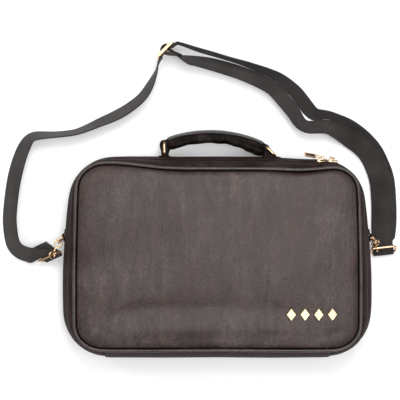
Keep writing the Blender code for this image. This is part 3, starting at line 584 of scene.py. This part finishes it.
# Both faces of a wall move the same way, so that it keeps its thickness
def wallHeight(point, normal, wall):
    groove = smoothStep((point.z - seams["frontRim"]) / seams["rimFade"]) * wall.get("groove", 0.0) * mm
    if "zip" in wall:
        groove += zipLip(point) * wall["zip"] * mm
        if point.z > seams["zipMiddle"]:
            away = (point.z - seams["bulgeLevel"]) / seams["bulgeWidth"]
            groove -= seams["bulge"] * mm * math.exp(-away ** 2)
    if "pinch" in wall and point.y < seams["pinchBelow"]:
        away = (point.x - seams["pinchPlace"]) / seams["pinchWidth"]
        groove += wall["pinch"] * mm * math.exp(-away ** 2)
    soft = noise.noise(point * wall["waveScale"]) * wall["wave"] * mm
    small = noise.noise(point * wall["rippleScale"] + Vector((1, 7, 3))) * wall["ripple"] * mm
    outside = 4 * normal.to_2d().dot(point.to_2d()) / point.to_2d().length
    return (soft + small - groove) * max(-1.0, min(1.0, outside))


def buildWalls():
    for node, wall in leatherWalls.items():
        piece = fineCopy(node, node + "_leather", wall["levels"], None if "piping" in node else 60)
        if wall["wave"]:
            shape = frontHeight if node == "front_panel" else wallHeight
            pressShape(piece, lambda p, n: shape(p, n, wall))
        # Gussets take the leather whose darker tones are painted shade
        leather = panelLeather if node in ("front_panel", "back_panel") else shadedGussetLeather
        if "piping" in node:
            leather = pipingLeather
        # Painted shade: darker in the groove beside the piping, at the turned-in lips beside the zip, and at
        # the foot of the rear gusset by the floor
        if node == "front_panel":
            markSeamShade(piece, lambda p: pipingShade(p, seams["panelReach"]))
        if node == "front_gusset":
            markSeamShade(piece, lambda p: max(pipingShade(p, seams["gussetReach"]),
                                           seams["frontLipShade"] * zipLip(p)))
        if node == "rear_gusset":
            markSeamShade(piece, lambda p: max(seams["rearLipShade"] * zipLip(p),
                                           smoothStep((seams["floorShadeLevel"] - p.z) / seams["floorShadeFade"])))
        finishPiece(piece, leather, node)


buildWalls()
print("leather walls ready")


# Handle, tabs and metal: fine copies with their own finish

trimPieces = ("handle_grip", "handle_loop_left", "handle_loop_right", "handle_anchor_left",
              "handle_anchor_right", "side_tab_left", "side_tab_right")
metalLift = 0.15
metalPieces = ("handle_ring_left", "handle_ring_right", "d_ring_left", "d_ring_right", "clasp_left",
               "clasp_right", "strap_ring_left", "strap_ring_right")


handle = {"swell": 1.3, "deepen": 2.4, "leftEnd": 1.6, "rightEnd": 4.6,  # deeper below, more at its ends
          "crease": 1.1, "creaseScale": (70.0, 240.0, 240.0), "ringLift": 0.3,
          "foldDepth": 19.0, "foldLevel": 24.0, "foldRound": 1.6, "foldWave": 0.6,
          # outline of each leather end round its ring, seen from the front, in millimetres
          "folds": {"left": ((-69.8, 134.7), (-67.8, 138.6), (-63.0, 140.0), (-57.0, 139.0), (-54.6, 131.1),
                             (-58.3, 125.1), (-59.0, 117.0), (-65.7, 117.0), (-67.1, 125.1)),
                    "right": ((48.6, 136.6), (59.0, 134.4), (66.0, 127.9), (70.4, 120.5), (69.0, 115.5),
                              (60.5, 115.5), (53.6, 121.0), (49.0, 126.5))}}


def shapeGrip(piece):
    scaleX, scaleY, scaleZ = handle["creaseScale"]

    def gripHeight(place, normal):
        fold = noise.noise(Vector((place.x * scaleX, place.y * scaleY, place.z * scaleZ)))
        below = smoothStep(0.6 - normal.y)
        under = smoothStep(-normal.y * 1.4)
        ends = (handle["leftEnd"] * smoothStep((-0.010 - place.x) / 0.045)
                + handle["rightEnd"] * smoothStep((place.x - 0.012) / 0.038))
        deep = handle["swell"] + under * (handle["deepen"] + ends)
        return (deep + fold * handle["crease"] * (0.3 + below) - 0.1) * mm
    pressShape(piece, gripHeight)


# Draw the sewn ends of a tab in, and seat it closer on the gusset, in millimetres
tabs = {"anchorDraw": (0.55, 1.0), "anchorIn": 1.6, "sideDraw": (1.0, 0.7), "sideIn": 1.3, "wave": 0.15}


def shrinkTab(piece, draw, inward):
    middle = sum((v.co for v in piece.data.vertices), Vector()) / len(piece.data.vertices)
    for vertex in piece.data.vertices:
        away = vertex.co - middle
        vertex.co = middle + Vector((away.x * draw[0], away.y * draw[1], away.z)) + Vector(inward) * mm


# An outline in millimetres, raised from one level to another
def raiseOutline(name, outline, low, high, steps=1):
    deselectAll()
    bpy.ops.mesh.primitive_circle_add(vertices=len(outline), fill_type="NGON")
    piece = bpy.context.object
    piece.name = name
    for vertex, (x, y) in zip(piece.data.vertices, outline):
        vertex.co = Vector((x, y, low)) * mm
    bpy.ops.object.mode_set(mode="EDIT")
    bpy.ops.mesh.select_all(action="SELECT")
    for step in range(steps):
        rise = (high - low) / steps * mm
        bpy.ops.mesh.extrude_region_move(TRANSFORM_OT_translate={"value": (0, 0, rise)})
    bpy.ops.object.mode_set(mode="OBJECT")
    fixNormals(piece)
    return piece


# A leather end folded round a ring
def buildFold(side):
    level, depth = handle["foldLevel"], handle["foldDepth"]
    piece = raiseOutline("handle_fold_" + side, handle["folds"][side],
                         level - depth / 2, level + depth / 2, 4)
    applyModifier(piece, "BEVEL", width=handle["foldRound"] * mm, segments=2, limit_method="ANGLE",
                  angle_limit=math.radians(50))
    applyModifier(piece, "TRIANGULATE")
    applyModifier(piece, "SUBSURF", levels=2, render_levels=2)
    pressShape(piece, lambda p, n: noise.noise(p * 160.0) * handle["foldWave"] * mm)
    return finishPiece(piece, trimLeather)


def buildTrim():
    for node in trimPieces:
        piece = fineCopy(node, node + "_leather", 2)
        if node == "handle_grip":
            shapeGrip(piece)
        else:
            pressShape(piece, lambda p, n: noise.noise(p * 90.0) * tabs["wave"] * mm)
        if "anchor" in node:
            shrinkTab(piece, tabs["anchorDraw"], (0, -tabs["anchorIn"], 0))
        if "tab" in node:
            shrinkTab(piece, tabs["sideDraw"], (tabs["sideIn"] * (1 if "left" in node else -1), 0, 0))
        finishPiece(piece, trimLeather, node)
    for node in metalPieces:
        piece = fineCopy(node, node + "_metal", 2, None)
        lift = handle["ringLift"] if "handle" in node else metalLift
        pressShape(piece, lambda p, n: lift * mm)
        finishPiece(piece, goldMetal, node)
    for side in ("left", "right"):
        buildFold(side)


buildTrim()
for node in ("strap_slider", "clasp_gate_left", "clasp_gate_right"):
    bpy.data.objects[node].data.materials.clear()
    bpy.data.objects[node].data.materials.append(goldMetal)
for index in range(4):
    bpy.data.objects["ornament_%d" % (index + 1)].data.materials.clear()
    bpy.data.objects["ornament_%d" % (index + 1)].data.materials.append(paleGold)
bpy.data.objects["zip_tape"].data.materials.clear()
bpy.data.objects["zip_tape"].data.materials.append(tapeFabric)
print("trim ready")


# Shoulder strap: the stations of the plain solid, drawn smooth, with a woven ribbon laid on them

strap = {"width": 25.0, "step": 2.5, "columns": 10, "wave": 0.5, "cup": 0.35}


def ringWalk(piece):
    mesh = bmesh.new()
    mesh.from_mesh(piece.data)
    bmesh.ops.remove_doubles(mesh, verts=mesh.verts, dist=0.00001)
    mesh.verts.ensure_lookup_table()
    ends = [v for v in mesh.verts if len({e.other_vert(v).index for e in v.link_edges}) <= 5]
    ends.sort(key=lambda v: (v.co - mesh.verts[0].co).length)
    best = None
    for vertex in ends:
        near = sorted(ends, key=lambda other: (other.co - vertex.co).length)[:4]
        ring = {v.index for v in near}
        around = {e.other_vert(mesh.verts[i]).index for i in ring for e in mesh.verts[i].link_edges} - ring
        if len(around) == 4 and (near[3].co - near[0].co).length < 0.027:
            best = ring
            break
    rings, seen = [], set()
    current = best
    while len(current) == 4:
        rings.append([mesh.verts[i].co.copy() for i in current])
        seen |= current
        linked = {e.other_vert(mesh.verts[i]).index for i in current for e in mesh.verts[i].link_edges}
        current = linked - seen
    mesh.free()
    first = rings[0]
    start = first[0]
    order = sorted(range(4), key=lambda i: (first[i] - start).length)
    near, far, cross = order[1], order[2], order[3]
    rings[0] = [first[order[0]], first[far], first[cross], first[near]]
    for index in range(1, len(rings)):
        ahead = rings[index]
        choices = ([ahead[a], ahead[b], ahead[c], ahead[d]] for a in range(4) for b in range(4)
                   for c in range(4) for d in range(4) if len({a, b, c, d}) == 4)
        rings[index] = min(choices, key=lambda r: sum((p - q).length for p, q in zip(r, rings[index - 1])))
    return rings


def curvePoint(before, a, b, after, t):
    slope, endSlope = (b - before) / 2, (after - a) / 2
    return ((2 * t ** 3 - 3 * t ** 2 + 1) * a + (t ** 3 - 2 * t ** 2 + t) * slope
            + (3 * t ** 2 - 2 * t ** 3) * b + (t ** 3 - t ** 2) * endSlope)


# Stations evenly spaced along the webbing: middle, across, out, and the length so far
def fineStations(rings, step):
    stations, length, last = [], 0.0, None
    for index in range(len(rings) - 1):
        around = [rings[max(index - 1, 0)], rings[index], rings[index + 1],
                  rings[min(index + 2, len(rings) - 1)]]
        reach = (sum(around[2], Vector()) - sum(around[1], Vector())).length / 4
        count = max(1, round(reach / step))
        for part in range(count + (index == len(rings) - 2)):
            corners = [curvePoint(*(ring[i] for ring in around), part / count) for i in range(4)]
            middle = sum(corners, Vector()) / 4
            if last is not None:
                length += (middle - last).length
            last = middle
            stations.append((corners, length))
    return stations


def buildStrap():
    rings = ringWalk(bpy.data.objects["shoulder_strap"])
    stations = fineStations(rings, strap["step"] * mm)
    columns = strap["columns"]
    total = stations[-1][1]
    shares = [0.015 + 0.97 * i / columns for i in range(columns + 1)]
    points, marks = [], []
    for corners, length in stations:
        a, b, c, d = corners
        out = ((a + b) - (c + d)).normalized()
        calm = smoothStep((length - 0.045) * 30) * smoothStep((total - 0.045 - length) * 30)
        row = [(a.lerp(b, s), s) for s in shares] + [(b.lerp(c, 0.5), 1.0)]
        row += [(d.lerp(c, s), s) for s in reversed(shares)] + [(a.lerp(d, 0.5), 0.0)]
        for place, share in row:
            ripple = noise.noise(place * 30.0) * strap["wave"] * mm * calm
            bow = (1 - (2 * share - 1) ** 2) * strap["cup"] * mm * calm
            points.append(place + out * (ripple - bow))
            marks.append((share * strap["width"], length * 1000))
    around = 2 * (columns + 1) + 2
    faces = []
    for row in range(len(stations) - 1):
        for i in range(around):
            after = (i + 1) % around
            here, ahead = row * around, (row + 1) * around
            faces.append((here + i, here + after, ahead + after, ahead + i))
    faces.append(tuple(range(around)))
    faces.append(tuple(reversed(range(len(points) - around, len(points)))))
    piece = meshPiece("shoulder_strap_webbing", points, faces)
    layer = piece.data.uv_layers.new(name="weave")
    for loop in piece.data.loops:
        layer.data[loop.index].uv = marks[loop.vertex_index]
    fixNormals(piece)
    finishPiece(piece, webbing, "shoulder_strap")
    print("strap stations", len(rings), "length mm", round(total * 1000))
    return stations


strapStations = buildStrap()


# What repeats is modelled once and copied: stitches and zip teeth

def repeatPiece(template, name, frames):
    source = template.data
    base = [v.co.copy() for v in source.vertices]
    corners = [tuple(p.vertices) for p in source.polygons]
    points, faces = [], []
    for frame in frames:
        shift = len(points)
        points.extend(frame @ p for p in base)
        faces.extend(tuple(shift + i for i in face) for face in corners)
    bpy.data.objects.remove(template, do_unlink=True)
    return meshPiece(name, points, faces)


def makeGrain(length, width, height, segments=8, rings=5):
    deselectAll()
    bpy.ops.mesh.primitive_uv_sphere_add(segments=segments, ring_count=rings, radius=0.5)
    template = bpy.context.object
    for vertex in template.data.vertices:
        p = vertex.co
        blunt = (1 - (2 * abs(p.x)) ** 3) ** 0.5 if abs(p.x) < 0.5 else 0.0
        vertex.co = Vector((p.x * length, p.y * width, p.z * height)) * mm
        if abs(p.x) < 0.499:
            around = math.hypot(p.y, p.z) * 2
            if around > 0.01:
                vertex.co.y *= blunt / around
                vertex.co.z *= blunt / around
    return template


def frameAt(place, along, out):
    along = (along - out * along.dot(out)).normalized()
    side = out.cross(along)
    turn = Matrix((along, side, out)).transposed().to_4x4()
    return Matrix.Translation(place) @ turn


# Points evenly spaced along a line of (place, out) pairs
def evenLine(line, pitch, start=0.0):
    pitch *= mm
    frames, due, gone = [], start * mm, 0.0
    for (a, outA), (b, outB) in zip(line, line[1:]):
        reach = (b - a).length
        while reach > 0 and gone + reach >= due:
            share = (due - gone) / reach
            frames.append((a.lerp(b, share), (b - a).normalized(), outA.lerp(outB, share).normalized()))
            due += pitch
        gone += reach
    return frames


# Where a level ring of rays from outside meets a wall
def ringLine(tree, height, first, last, count=900):
    line = []
    for index in range(count + 1):
        turn = first + (last - first) * index / count
        aim = Vector((math.cos(turn) * 0.100, math.sin(turn) * 0.060, 0))
        way = Vector((math.cos(turn) * 0.5, math.sin(turn) * 0.8, 0)).normalized()
        hit = tree.ray_cast(aim + way * 0.3 + Vector((0, 0, height)), -way)
        if hit[0] is not None and hit[3] < 0.3:
            line.append((hit[0], hit[1] if hit[1].dot(way) > 0 else -hit[1]))
    return line


# The zip runs round the upper part of the bag, between these turns in radians
upperStart, upperEnd = -0.86, math.pi + 0.86


def stitchRow(name, line, pitch, size, lift, body="bag"):
    length, width, height = size
    frames = [frameAt(p + out * lift * mm, along, out) for p, along, out in evenLine(line, pitch)]
    piece = repeatPiece(makeGrain(length, width, height), name, frames)
    return finishPiece(piece, threadDark, body=body, smoothAngle=80)


# Zip: a coil of fine teeth along the tape, and a row of stitches in the leather on each side

zipper = {"level": 48.0, "toothLift": 0.25, "toothTurn": 0.35, "toothPitch": 1.45,
          "tooth": (3.4, 1.0, 0.9), "stitchPitch": 3.2,
          "stitch": (2.3, 0.55, 0.4), "frontStitch": 54.9, "rearStitch": 41.0}


def buildZip():
    line = ringLine(treeOf("zip_tape"), zipper["level"] * mm, upperStart, upperEnd)
    frames = []
    for place, along, out in evenLine(line, zipper["toothPitch"]):
        tooth = frameAt(place + out * zipper["toothLift"] * mm, Vector((0, 0, 1)), out)
        frames.append(tooth @ Matrix.Rotation(zipper["toothTurn"], 4, "Z"))
    teeth = repeatPiece(makeGrain(*zipper["tooth"], 6, 5), "zip_teeth", frames)
    finishPiece(teeth, teethPlastic, smoothAngle=80)
    for side, level in (("front", zipper["frontStitch"]), ("rear", zipper["rearStitch"])):
        tree = treeOf(side + "_gusset_leather")
        line = ringLine(tree, level * mm, upperStart, upperEnd)
        stitchRow("zip_stitches_" + side, line, zipper["stitchPitch"], zipper["stitch"], 0.05)
    print("zip teeth", len(frames))


buildZip()


# Zip sliders and pulls, each built on the frame of its own plain solid

slider = {"outline": ((-0.50, 0.26), (-0.36, 0.34), (-0.05, 0.44), (0.16, 0.50), (0.40, 0.50),
                      (0.50, 0.40)),
          "plate": 1.1, "bridge": 0.62, "bridgeReach": 3.4, "bridgeRise": 1.6,
          "hinges": {"left": (123.93, 118.68, 48.0), "right": (137.54, 116.71, 48.0)},
          # the bridge runs square to its pull's hinge: its own way, and the way across it
          "bridgeWays": {"left": ((1, 0, 0), (0, 1, 0)), "right": ((0, 1, 0), (1, 0, 0))}}
pull = {"tag": 0.70, "thick": 1.5, "corner": 1.2, "rim": 0.8, "sink": 0.3, "inlay": 0.95, "inlayRoom": 2.1,
        "bail": 0.55, "bailWidth": 1.9, "rightWider": 1.15}


# Middle, axes (along, across, outward) and size of a flat solid, turned so that along points to a place
def plateFrame(node, toward):
    mesh = bpy.data.objects[node].data
    places = [v.co.copy() for v in mesh.vertices]
    outward = max(mesh.polygons, key=lambda p: p.area).normal.copy()
    if outward.y < 0:
        outward.negate()
    start = outward.orthogonal().normalized()

    def ends(way):
        reach = [p.dot(way) for p in places]
        return min(reach), max(reach)
    turns = [Matrix.Rotation(math.pi * step / 360, 3, outward) @ start for step in range(360)]
    across = min(turns, key=lambda way: ends(way)[1] - ends(way)[0])
    along = across.cross(outward)
    middle = sum((way * sum(ends(way)) / 2 for way in (along, across, outward)), Vector())
    if (Vector(toward) - middle).dot(along) < 0:
        along, across = -along, -across
    size = [ends(way)[1] - ends(way)[0] for way in (along, across, outward)]
    turn = Matrix((along, across, outward)).transposed().to_4x4()
    return Matrix.Translation(middle) @ turn, Vector(size) / mm


# A flat plate with rounded edges, laid on its place
def platePiece(name, place, outline, low, high, edge=0.25):
    piece = raiseOutline(name, outline, low, high)
    applyModifier(piece, "BEVEL", width=edge * mm, segments=2, limit_method="ANGLE",
                  angle_limit=math.radians(40))
    piece.data.transform(place)
    return piece


def roundOutline(length, width, corner, shift=0.0):
    outline = []
    for quarter, (x, y) in enumerate(((1, 1), (-1, 1), (-1, -1), (1, -1))):
        for step in range(5):
            turn = math.pi / 2 * (quarter + step / 4)
            outline.append((shift + x * (length / 2 - corner) + math.cos(turn) * corner,
                            y * (width / 2 - corner) + math.sin(turn) * corner))
    return outline


# A round rod along a line that lies in one plane
def rodPiece(name, place, line, upward, radius, closed, sides=10):
    line, upward = [Vector(p) for p in line], Vector(upward)
    count = len(line)
    deselectAll()
    if closed:
        bpy.ops.mesh.primitive_torus_add(major_segments=count, minor_segments=sides, major_radius=1,
                                         minor_radius=0.2)
    else:
        bpy.ops.mesh.primitive_circle_add(vertices=sides, fill_type="NGON")
        bpy.ops.object.mode_set(mode="EDIT")
        bpy.ops.mesh.select_all(action="SELECT")
        for step in range(count - 1):
            bpy.ops.mesh.extrude_region_move(TRANSFORM_OT_translate={"value": (0, 0, 1)})
        bpy.ops.object.mode_set(mode="OBJECT")
    piece = bpy.context.object
    piece.name = name
    for vertex in piece.data.vertices:
        if closed:
            row, turn = vertex.index // sides, math.tau * (vertex.index % sides) / sides
        else:
            row, turn = round(vertex.co.z), math.atan2(vertex.co.y, vertex.co.x)
        ahead = line[(row + 1) % count] if closed else line[min(row + 1, count - 1)]
        behind = line[row - 1] if closed else line[max(row - 1, 0)]
        side = (ahead - behind).normalized().cross(upward)
        vertex.co = (line[row] + (side * math.cos(turn) + upward * math.sin(turn)) * radius) * mm
    fixNormals(piece)
    piece.data.transform(place)
    return piece


def buildSlider(side):
    node = "zip_slider_" + side
    hinge = Vector(slider["hinges"][side]) * mm
    place, size = plateFrame(node, (0.0, 0.2, 0.048))
    length, width, thick = size
    outline = [(x * length, y * width) for x, y in slider["outline"]]
    outline += [(x, -y) for x, y in reversed(outline)]
    top = thick / 2
    plates = ((node + "_top", top - slider["plate"], top), (node + "_base", -top, -top + slider["plate"]))
    for name, low, high in plates:
        finishPiece(platePiece(name, place, outline, low, high), goldMetal, node)
    core = platePiece(node + "_core", place, roundOutline(length * 0.3, width * 0.3, 0.6, length * 0.3),
                      0.2 - top, top - 0.2)
    finishPiece(core, goldMetal)
    spot = place.inverted() @ hinge / mm
    rise, reach = spot.z + slider["bridgeRise"], slider["bridgeReach"]
    way, across = slider["bridgeWays"][side]
    line = [Vector((spot.x, spot.y, top - 0.4 + (rise - top + 0.4) * math.sin(turn) ** 0.6))
            - Vector(way) * reach * math.cos(turn) for turn in (math.pi * step / 16 for step in range(17))]
    bridge = rodPiece(node + "_bridge", place, line, across, slider["bridge"], False)
    finishPiece(bridge, goldMetal)


def buildPull(side):
    node = "zip_pull_" + side
    hinge = Vector(slider["hinges"][side]) * mm
    place, size = plateFrame(node, hinge)
    length, width, thick = size
    spot = place.inverted() @ hinge / mm
    tag = length * pull["tag"]
    shift = (tag - length) / 2
    plate = platePiece(node + "_tag", place, roundOutline(tag, width, pull["corner"], shift),
                       -pull["thick"] / 2, pull["thick"] / 2, 0.2)
    makeActive(plate)
    bpy.ops.object.mode_set(mode="EDIT")
    bpy.ops.mesh.select_mode(type="FACE")
    bpy.ops.mesh.select_all(action="DESELECT")
    bpy.ops.object.mode_set(mode="OBJECT")
    for face in sorted(plate.data.polygons, key=lambda p: p.area)[-2:]:
        face.select = True
    bpy.ops.object.mode_set(mode="EDIT")
    bpy.ops.mesh.inset(use_individual=True, thickness=pull["rim"] * mm, depth=-pull["sink"] * mm)
    bpy.ops.mesh.select_mode(type="VERT")
    bpy.ops.object.mode_set(mode="OBJECT")
    finishPiece(plate, goldMetal, node, body=node)
    room = pull["inlayRoom"]
    inlay = platePiece(node + "_inlay", place, roundOutline(tag - room, width - room, 0.5, shift),
                       -pull["inlay"] / 2, pull["inlay"] / 2, 0.1)
    finishPiece(inlay, inlayDark, body=node)
    start, end = shift + tag / 2 - 0.9, spot.x
    half = pull["bailWidth"] * (pull["rightWider"] if side == "right" else 1.0)
    line = []
    for step in range(28):
        turn = math.tau * step / 28
        reach = math.copysign(abs(math.cos(turn)) ** 0.75, math.cos(turn))
        line.append(((start + end) / 2 + (end - start) / 2 * reach, half * math.sin(turn),
                     spot.z * smoothStep(math.cos(turn) * 0.5 + 0.5)))
    bail = rodPiece(node + "_bail", place, line, (0, 0, 1), pull["bail"], True)
    finishPiece(bail, goldMetal, body=node)


for side in ("left", "right"):
    buildSlider(side)
    buildPull(side)
print("zip hardware ready")


# Rows of stitches across the webbing, where its tail is sewn down beside the slider

strapRows = {"pitch": 2.1, "stitch": (1.6, 0.5, 0.35), "near": 250.0, "rows": (-45.0, -38.0)}


def buildStrapRows():
    for index, target in enumerate(strapRows["rows"]):
        goal = Vector((target, strapRows["near"], 0)) * mm
        tops = []
        for (a, b, c, d), length in strapStations:
            out = ((a + b) - (c + d)).normalized()
            tops.append((a, b, out) if a.z + b.z > c.z + d.z else (d, c, -out))
        first, last, out = min(tops, key=lambda top: ((top[0] + top[1]) / 2 - goal).to_2d().length - top[0].z)
        line = [(first.lerp(last, share), out) for share in (0.06, 0.5, 0.94)]
        stitchRow("strap_stitches_%d" % index, line, strapRows["pitch"], strapRows["stitch"], 0.1)


buildStrapRows()
